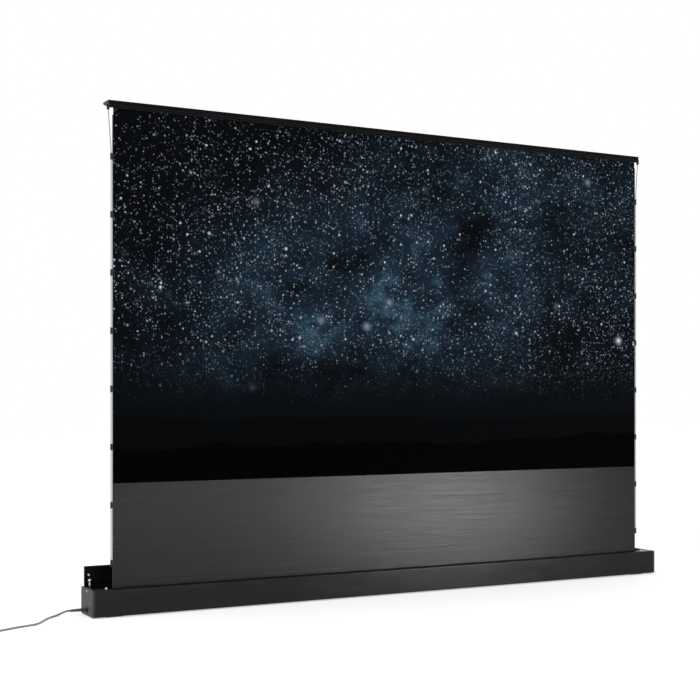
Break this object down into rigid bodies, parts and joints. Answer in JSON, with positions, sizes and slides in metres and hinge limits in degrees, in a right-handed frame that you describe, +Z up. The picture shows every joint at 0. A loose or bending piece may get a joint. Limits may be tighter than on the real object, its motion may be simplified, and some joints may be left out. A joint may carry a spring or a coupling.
{
  "type": "floor-rising projection screen",
  "caption": "Floor-standing tab-tensioned projection screen rising from a low metal base on sprung knee arms, with a hinged lid, fabric roller and mains cord.",
  "frame": {"origin": "on the floor under the middle of the base, leaving the mains cord out", "axes": "+X to the viewer's right along the base, +Y to the rear, +Z up"},
  "size_m": [2.8777, 0.248, 1.749],
  "materials": {
    "charcoal_aluminium": "anodised satin",
    "grey_cap": "satin",
    "black_aluminium": "painted satin",
    "black_metal": "satin",
    "silver_metal": "polished",
    "aluminium": "satin",
    "black_plastic": "matte",
    "rubber": "matte",
    "picture_cloth": "matte",
    "black_cloth": "matte",
    "cord_grey": "satin"
  },
  "bodies": {
    "base": {"housing": "charcoal_aluminium", "end_cap_left": "grey_cap", "end_cap_right": "grey_cap", "cap_screw_left": "silver_metal", "cap_screw_right": "silver_metal", "service_socket": "black_plastic", "foot_front_left": "rubber", "foot_front_right": "rubber", "foot_rear_left": "rubber", "foot_rear_right": "rubber", "roller_bracket_left": "black_metal", "roller_bracket_right": "black_metal", "end_cover_left": "charcoal_aluminium", "end_cover_right": "charcoal_aluminium", "cover_screw_left": "silver_metal", "cover_screw_right": "silver_metal", "tube_motor": "aluminium", "arm_bracket_left": "black_metal", "arm_bracket_right": "black_metal", "base_pin_left": "silver_metal", "base_pin_right": "silver_metal", "lift_spring_left": "silver_metal", "lift_spring_right": "silver_metal", "control_unit": "black_plastic", "viewing_fabric": "picture_cloth", "leader_fabric": "black_cloth", "tab_strip_left": "black_cloth", "tab_strip_right": "black_cloth", "tension_cord_left": "cord_grey", "tension_cord_right": "cord_grey", "strain_relief": "black_plastic", "power_cord": "cord_grey", "cord_coil": "cord_grey", "mains_plug": "black_plastic"},
    "roller": {"roller_tube": "aluminium", "fabric_wrap": "black_cloth", "drive_adapter": "black_plastic", "idler_plug": "black_plastic"},
    "lid": {"lid": "black_aluminium", "lid_strap_left": "black_metal", "lid_strap_right": "black_metal", "stay_bracket_left": "black_metal", "stay_bracket_right": "black_metal"},
    "left_stay": {"lid_stay_left": "silver_metal"},
    "right_stay": {"lid_stay_right": "silver_metal"},
    "left_lower_arm": {"lower_arm_left": "aluminium", "elbow_pin_left": "silver_metal"},
    "left_upper_arm": {"upper_arm_left": "aluminium"},
    "right_lower_arm": {"lower_arm_right": "aluminium", "elbow_pin_right": "silver_metal"},
    "right_upper_arm": {"upper_arm_right": "aluminium"},
    "top_bar": {"top_bar": "black_aluminium", "top_bar_end_left": "grey_cap", "top_bar_end_right": "grey_cap", "cord_anchor_left": "black_metal", "cord_anchor_right": "black_metal", "top_pin_left": "silver_metal", "top_pin_right": "silver_metal"}
  },
  "joints": [
    {"name": "left_arm_fold", "type": "hinge", "parent": "base", "child": "left_lower_arm", "pos_m": [-0.93, -0.01885, 0.072], "axis": [0, 1, 0], "range_deg": [0, 79.01], "stiffness_Nm_per_rad": 25, "springref_deg": -57.3, "deforming": ["viewing_fabric", "leader_fabric", "tab_strip_left", "tab_strip_right", "tension_cord_left", "tension_cord_right"]},
    {"name": "left_elbow", "type": "hinge", "parent": "left_lower_arm", "child": "left_upper_arm", "pos_m": [-0.7689, -0.0224, 0.9015], "axis": [0, 1, 0], "range_deg": [-158.02, 0]},
    {"name": "top_bar_pivot", "type": "hinge", "parent": "left_upper_arm", "child": "top_bar", "pos_m": [-0.93, -0.0276, 1.731], "axis": [0, 1, 0], "range_deg": [0, 79.01]},
    {"name": "right_arm_fold", "type": "hinge", "parent": "base", "child": "right_lower_arm", "pos_m": [0.93, -0.01885, 0.072], "axis": [0, 1, 0], "range_deg": [-79.01, 0]},
    {"name": "right_elbow", "type": "hinge", "parent": "right_lower_arm", "child": "right_upper_arm", "pos_m": [0.7689, -0.0224, 0.9015], "axis": [0, 1, 0], "range_deg": [0, 158.02]},
    {"name": "roller_spin", "type": "hinge", "parent": "base", "child": "roller", "pos_m": [0, -0.0075, 0.034], "axis": [1, 0, 0], "range_deg": [0, 3833]},
    {"name": "lid_hinge", "type": "hinge", "parent": "base", "child": "lid", "pos_m": [0, 0.0597, 0.0896], "axis": [1, 0, 0], "range_deg": [0, 90]},
    {"name": "lid_stay_left", "type": "hinge", "parent": "lid", "child": "left_stay", "pos_m": [-1.188, 0.049, 0.115], "axis": [1, 0, 0], "range_deg": [-90, 0]},
    {"name": "lid_stay_right", "type": "hinge", "parent": "lid", "child": "right_stay", "pos_m": [1.188, 0.049, 0.115], "axis": [1, 0, 0], "range_deg": [-90, 0]}
  ],
  "couplings": [
    {"joint": "left_elbow", "follows": "left_arm_fold", "ratio": -2},
    {"joint": "top_bar_pivot", "follows": "left_arm_fold", "ratio": 1},
    {"joint": "right_arm_fold", "follows": "left_arm_fold", "ratio": -1},
    {"joint": "right_elbow", "follows": "left_arm_fold", "ratio": 2},
    {"joint": "roller_spin", "follows": "left_arm_fold", "ratio": 48.511},
    {"joint": "lid_stay_left", "follows": "lid_hinge", "ratio": -1},
    {"joint": "lid_stay_right", "follows": "lid_hinge", "ratio": -1}
  ]
}
